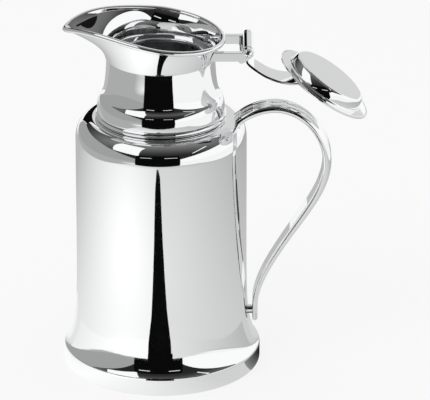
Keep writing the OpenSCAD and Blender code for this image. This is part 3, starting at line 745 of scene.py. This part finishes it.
side_view = moved_left(arm_line, -ARM_T / 2) + moved_left(arm_line, ARM_T / 2)[::-1]
across = [i / ARM_STEPS - 1 for i in range(2 * ARM_STEPS + 1)]
arm = lofted([[(p.x, half_width(p.x) * share, p.y) for p in side_view] for share in across])
for v in arm.verts:
    rest = dome_z(math.hypot(v.co.x + PIN.x, v.co.y)) - PIN.y + REST_GAP
    if v.co.x < land.x + LAND_EDGE and v.co.z < rest:
        v.co.z = rest
bmesh.ops.translate(arm, vec=(PIN.x, 0, PIN.y), verts=arm.verts)
softened(arm, width=0.3)
RUN_FIT, SIDE_GAP = 0.05, 0.4
BORE, KNUCKLE = PIN_R + RUN_FIT, FORK - SIDE_GAP
ring = places((BORE, -KNUCKLE), (KNUCKLE_R, -KNUCKLE), (KNUCKLE_R, KNUCKLE), (BORE, KNUCKLE))
knuckle = laid_across(softened(spun(ring, True, 64), width=0.3), PIN)
roll = bpy.data.meshes.new("roll")
knuckle.to_mesh(roll)
arm.from_mesh(roll)
polished("bright_lid_arm", swung_open(arm), "lid", "lid_arm")

# %% [markdown]
# Four solids stay as they are, because they are closed in or lie under the foot: the plate in the foot, the
# floor of the outer wall, its sealed port and the disc of foam. They only get their finish.

# %% The pieces that stay as solids
hidden = {name: satin_steel for name in ("base_plate", "shell_floor", "vacuum_seal")}
hidden["lid_insulation"] = foam
for name, finish in hidden.items():
    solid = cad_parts[name]
    solid.data.materials.clear()
    solid.data.materials.append(finish)
    print(name, "keeps its solid, with", finish.name)

# %% [markdown]
# The floor is pale, and the room is white to the eye and to the metal. Rays from the camera and from a mirror
# see mostly a white glow on the floor; all other rays see matte paint, which takes the jug's soft shadow. Plain
# white paint could do, but the mirror would show it grey.

# %% Paint for the floor
FLOOR_SHADE, FLOOR_GLOW = 0.9, 0.8


def fresh_material(name):
    material = bpy.data.materials.new(name)
    material.use_nodes = True
    material.node_tree.nodes.clear()
    return material, material.node_tree.nodes, material.node_tree.links


def seen_rays(nodes, links):
    path = nodes.new("ShaderNodeLightPath")
    total = path.outputs["Is Camera Ray"]
    for name in ("Is Glossy Ray", "Is Transmission Ray"):
        either = nodes.new("ShaderNodeMath")
        either.operation = "MAXIMUM"
        links.new(total, either.inputs[0])
        links.new(path.outputs[name], either.inputs[1])
        total = either.outputs[0]
    return total


floor_paint, nodes, links = fresh_material("pale_floor")
matte = nodes.new("ShaderNodeBsdfDiffuse")
matte.inputs["Color"].default_value = (FLOOR_SHADE, FLOOR_SHADE, FLOOR_SHADE, 1)
white = nodes.new("ShaderNodeEmission")
share = nodes.new("ShaderNodeMath")
share.operation = "MULTIPLY"
share.inputs[1].default_value = FLOOR_GLOW
blend = nodes.new("ShaderNodeMixShader")
links.new(seen_rays(nodes, links), share.inputs[0])
links.new(share.outputs[0], blend.inputs["Fac"])
links.new(matte.outputs[0], blend.inputs[1])
links.new(white.outputs[0], blend.inputs[2])
links.new(blend.outputs[0], nodes.new("ShaderNodeOutputMaterial").inputs["Surface"])
print("floor paint:", len(nodes), "nodes")

# %% [markdown]
# The floor is one large flat sheet, wide enough that its edge is never seen. The helper that makes it also makes
# the cards further down. All of them are stage, not part of the jug.

# %% The floor
WIDE = 4


def flat_sheet(name, corners, material):
    bm = bmesh.new()
    bm.faces.new([bm.verts.new(c) for c in corners])
    mesh = bpy.data.meshes.new(name)
    bm.to_mesh(mesh)
    bm.free()
    mesh.materials.append(material)
    made = bpy.data.objects.new(name, mesh)
    bpy.context.collection.objects.link(made)
    return made


flat_sheet("floor", [(-WIDE, -WIDE, 0), (WIDE, -WIDE, 0), (WIDE, WIDE, 0), (-WIDE, WIDE, 0)], floor_paint)
print("the floor is", 2 * WIDE, "m wide")

# %% [markdown]
# The world lights everything evenly, so a colour looks about as it is written. One weak, wide lamp gives the
# shadow a direction. It is kept out of the mirror, where a round white spot would look like a fault.

# %% The world and the lamp
ROOM, FILL = (1, 1, 1, 1), 0.75
LAMP_SIZE, LAMP_POWER, LAMP_AT, LAMP_AIM = 1.2, 7, (-0.9, -1.0, 1.7), Vector((0, 0, 0.1))
world = bpy.data.worlds.new("white_room")
bpy.context.scene.world = world
world.use_nodes = True
nodes, links = world.node_tree.nodes, world.node_tree.links
nodes.clear()
room, fill = nodes.new("ShaderNodeBackground"), nodes.new("ShaderNodeBackground")
room.inputs["Color"].default_value = fill.inputs["Color"].default_value = ROOM
fill.inputs["Strength"].default_value = FILL
which = nodes.new("ShaderNodeMixShader")
links.new(seen_rays(nodes, links), which.inputs["Fac"])
links.new(fill.outputs[0], which.inputs[1])
links.new(room.outputs[0], which.inputs[2])
links.new(which.outputs[0], nodes.new("ShaderNodeOutputWorld").inputs["Surface"])

lamp = bpy.data.lights.new("soft_lamp", "AREA")
lamp.shape = "DISK"
lamp.size = LAMP_SIZE
lamp.energy = LAMP_POWER
soft_lamp = bpy.data.objects.new("soft_lamp", lamp)
soft_lamp.location = LAMP_AT
soft_lamp.rotation_euler = (LAMP_AIM - soft_lamp.location).to_track_quat("-Z", "Y").to_euler()
soft_lamp.visible_glossy = False
bpy.context.collection.objects.link(soft_lamp)
print("world and lamp are set")

# %% [markdown]
# A mirror in a white room is white and has no shape. A photographer of silver therefore stands cards round it.
# Most are one even shade. A few are lit unevenly, as by a lamp, so their paint fades with the distance from a
# spot; a painted picture of the room could do it all at once, but cards can be moved and dimmed one by one.

# %% Paint for the cards
def card_paint(name, shade):
    material, nodes, links = fresh_material(name)
    glow = nodes.new("ShaderNodeEmission")
    glow.inputs["Color"].default_value = (shade, shade, shade, 1)
    links.new(glow.outputs[0], nodes.new("ShaderNodeOutputMaterial").inputs["Surface"])
    return material


def pool_paint(name, centre, stretch, radius, bright, dim, power=1):
    material, nodes, links = fresh_material(name)
    where, shift = nodes.new("ShaderNodeTexCoord"), nodes.new("ShaderNodeMapping")
    shift.inputs["Scale"].default_value = (*stretch, 0)
    shift.inputs["Location"].default_value = (-centre[0] * stretch[0], -centre[1] * stretch[1], 0)
    away, fall = nodes.new("ShaderNodeVectorMath"), nodes.new("ShaderNodeMath")
    away.operation, fall.operation = "LENGTH", "POWER"
    near, level = nodes.new("ShaderNodeMapRange"), nodes.new("ShaderNodeMapRange")
    near.inputs["From Max"].default_value = radius
    near.inputs["To Min"].default_value, near.inputs["To Max"].default_value = 1, 0
    fall.inputs[1].default_value = power
    level.inputs["To Min"].default_value, level.inputs["To Max"].default_value = dim, bright
    glow = nodes.new("ShaderNodeEmission")
    links.new(where.outputs["Object"], shift.inputs["Vector"])
    links.new(shift.outputs["Vector"], away.inputs[0])
    links.new(away.outputs["Value"], near.inputs["Value"])
    links.new(near.outputs["Result"], fall.inputs[0])
    links.new(fall.outputs[0], level.inputs["Value"])
    links.new(level.outputs["Result"], glow.inputs["Strength"])
    links.new(glow.outputs[0], nodes.new("ShaderNodeOutputMaterial").inputs["Surface"])
    return material


EVEN, BLACK = (1, 1), 0.003
ceiling_paint = pool_paint("ceiling", (0, 0.1), (0.35, 1), 1.35, bright=0.24, dim=0.02, power=2.5)
grey_paint = pool_paint("grey_floor", (-0.5, -0.72), EVEN, 0.3, bright=0.9, dim=0.42)
print("uneven paints so far:", ceiling_paint.name, grey_paint.name)

# %% [markdown]
# The room of cards comes first: a dark ceiling that is a little lighter above the jug, a grey side with a lighter
# pool on its floor, and a black front on the camera's side, which puts a dark line on every round piece. The
# cards are seen in the metal only: not by the camera, and they throw no light and no shadow on anything else.

# %% The ceiling, the side and the front
def card(name, paint, corners):
    even = not isinstance(paint, bpy.types.Material)
    made = flat_sheet(name, corners, card_paint(name, paint) if even else paint)
    made.visible_camera = False
    made.visible_diffuse = False
    made.visible_transmission = False
    made.visible_shadow = False
    return made


def at(z, *pairs):
    return [(x, y, z) for x, y in pairs]


def upright(a, b, low, high):
    return [(*a, low), (*b, low), (*b, high), (*a, high)]


CEILING, LOW = 0.75, 0.0006
far_left, near_left, far_right, near_right = (-2.28, -3.5), (-0.7, 1.4), (1.75, -3.74), (1.2, 0.5)
front_left, front_right = (-0.75, -1.15), (0.54, -1.15)
table_left, table_right = (-0.38, -0.6), (0.28, -0.63)
side_edge = (-0.43, 0.45), (-0.43, -0.4), table_left, front_left, far_left, near_left
card("dark_ceiling", ceiling_paint, at(CEILING, far_left, far_right, near_right, (-1.3, 1.6)))
card("grey_side", 0.36, upright(far_left, near_left, 0, CEILING))
card("grey_side_floor", grey_paint, at(2 * LOW, *side_edge))
card("black_front", BLACK, upright(front_left, front_right, 0, CEILING))
card("black_front_floor", BLACK, at(2 * LOW, table_left, front_left, front_right, table_right))
print("the ceiling hangs", CEILING, "m above the table")

# %% [markdown]
# The table comes next. Its left half is lit more than its right, and a dark strip between the two draws the long
# line down the body. Close to the foot the table is lighter, and on the side of the handle a painted shadow of
# the jug darkens it.

# %% The table
left_paint = pool_paint("left_table", (-0.19, -0.2), EVEN, 0.5, bright=1.14, dim=0.505)
right_paint = pool_paint("right_table", (0, -0.25), EVEN, 0.65, bright=0.805, dim=0.43)
near_paint = pool_paint("near_table", (-0.06, -0.04), (1, 0.25), 0.11, bright=1.04, dim=0.66)
# The foot shade is a painted shadow of the jug on the table, darkest just to the right of the foot.
shade_paint = pool_paint("foot_shade", (0.067, 0.005), EVEN, 0.036, bright=0.004, dim=0.6, power=0.3)
seam = (-0.05, -0.7), (-0.01, -0.1), (0, 0.6)
right_edge = (0.22, -0.7), (0.5, -0.45), (0.5, 0.6)
card("left_table", left_paint, at(LOW, (-0.5, -0.7), *seam, (-0.5, 0.6)))
card("right_table", right_paint, at(LOW, seam[0], *right_edge, seam[2], seam[1]))
strip_left = (-0.033, -0.1), (-0.037, -0.19), (-0.042, -0.27), (-0.0465, -0.335), (-0.0475, -0.39)
strip_end = (-0.038, -0.43), (-0.025, -0.43), (-0.006, -0.415)
strip_right = (0.0, -0.385), (0.006, -0.34), (0.015, -0.27), (0.022, -0.19), (0.024, -0.1)
card("dark_strip", BLACK, at(3 * LOW, *strip_left, *strip_end, *strip_right))
card("near_table", near_paint, at(1.5 * LOW, (-0.1, -0.1), (0.1, -0.1), (0.1, 0.1), (-0.1, 0.1)))
shade_edge = (0.04, -0.026), (0.08, -0.026), (0.1, 0), (0.09, 0.035), (0.04, 0.035)
card("foot_shade", shade_paint, at(2 * LOW, *shade_edge))
print("the strip has", len(strip_left + strip_end + strip_right), "corners")

# %% [markdown]
# Low screens stand in a ring round the foot, lit on the left and greyer on the right, and lower towards the
# sides. A dark slit between the two carries the strip on into the turned edge of the foot. One bent screen could
# do it, but short flat ones keep each card a single face.

# %% The slit and the low screens
SCREEN_R, SCREEN_TOP, SCREEN_FALL, SCREEN_STEP = 0.1, 0.0164, 0.0105, 10
slit_left = (-0.0225, 0), (-0.022, 0.0242), (-0.02, 0.0274), (-0.0175, 0.033), (-0.0156, 0.0405)
slit_right = (0.0095, 0.0405), (0.0117, 0.0333), (0.014, 0.0277), (0.0165, 0.0245), (0.0175, 0)
card("dark_slit", BLACK, [(x, -SCREEN_R, z) for x, z in slit_left + slit_right])
left_screen = pool_paint("left_screen", (-0.06, -0.08), EVEN, 0.1, bright=1.1, dim=0.875)
right_screen = pool_paint("right_screen", (0.01, -0.1), EVEN, 0.15, bright=0.8, dim=0.48)


def post(turn):
    t = math.radians(turn)
    return (SCREEN_R * math.sin(t), -SCREEN_R * math.cos(t)), SCREEN_TOP + SCREEN_FALL * math.cos(t)


for turn in (*range(-102, -12, SCREEN_STEP), *range(10, 100, SCREEN_STEP)):
    (a, a_top), (b, b_top) = post(turn), post(turn + SCREEN_STEP)
    card("screen", left_screen if turn < 0 else right_screen, [(*a, 0), (*b, 0), (*b, b_top), (*a, a_top)])
print("the screens are up to", round(1000 * post(0)[1]), "mm high")

# %% [markdown]
# Above and behind the jug the room is uneven too: a part of the ceiling is pale, with one dark spot beside it,
# and a pale and a dark card stand at the back. Last come the lights that the metal shows: a window in the
# ceiling, two narrow lamps on the black front and one slanting across the ceiling.

# %% The back and the lights
PALE_Z, LIT_Z, LAMP_Y, LAMP_LOW, LAMP_HIGH = CEILING - 0.001, CEILING - 0.002, -1.148, 0.485, 0.525
pale_left = (-0.36, 1.18), (-0.3, 0.7), (-0.06, 0.4), (-0.06, 0.12)
pale_right = (0.26, 0.18), (0.4, 0.42), near_right
card("pale_ceiling", 0.62, at(PALE_Z, *pale_left, *pale_right))
card("dark_spot", 0.008, at(PALE_Z, *part_ellipse((0.39, 0.1), 0.12, 0.055, 0, 345, 23)))
card("pale_back", 0.68, upright((-0.12, 1.5), (1.3, 1.5), 0.33, 1.3))
card("dark_back", BLACK, upright((-0.68, 1.4), (-0.12, 1.5), 0.3, 0.85))
card("window", 1.0, at(LIT_Z, (-0.146, -0.175), (-0.725, -1.25), (-1.17, -0.43), (-0.29, 0.09)))
card("left_dash", 0.8, upright((-0.586, LAMP_Y), (-0.244, LAMP_Y), LAMP_LOW, LAMP_HIGH))
card("right_dash", 0.8, upright((0.1, LAMP_Y), (0.465, LAMP_Y), LAMP_LOW, LAMP_HIGH))
card("slanted_dash", 1.0, at(LIT_Z, (0.78, -0.81), (0.84, -0.81), (0.66, -0.157), (0.60, -0.157)))

# %% [markdown]
# The photograph was taken from in front and a little above with a long lens, which keeps the upright lines
# upright and the ellipses shallow. A camera three metres away with a narrow view gives the same drawing.

# %% The camera
AIM, AWAY, ABOVE = Vector((0.035, 0, 0.1118)), 3.0, math.radians(22.8)
SENSOR, FOCAL = 36, 384.6
lens = bpy.data.cameras.new("camera")
lens.sensor_width = SENSOR
lens.lens = FOCAL
camera = bpy.data.objects.new("camera", lens)
camera.location = AIM + AWAY * Vector((0, -math.cos(ABOVE), math.sin(ABOVE)))
camera.rotation_euler = (AIM - camera.location).to_track_quat("-Z", "Y").to_euler()
bpy.context.collection.objects.link(camera)
bpy.context.scene.camera = camera
bpy.context.scene.view_settings.view_transform = "Standard"
print("camera at", [round(v, 3) for v in camera.location])
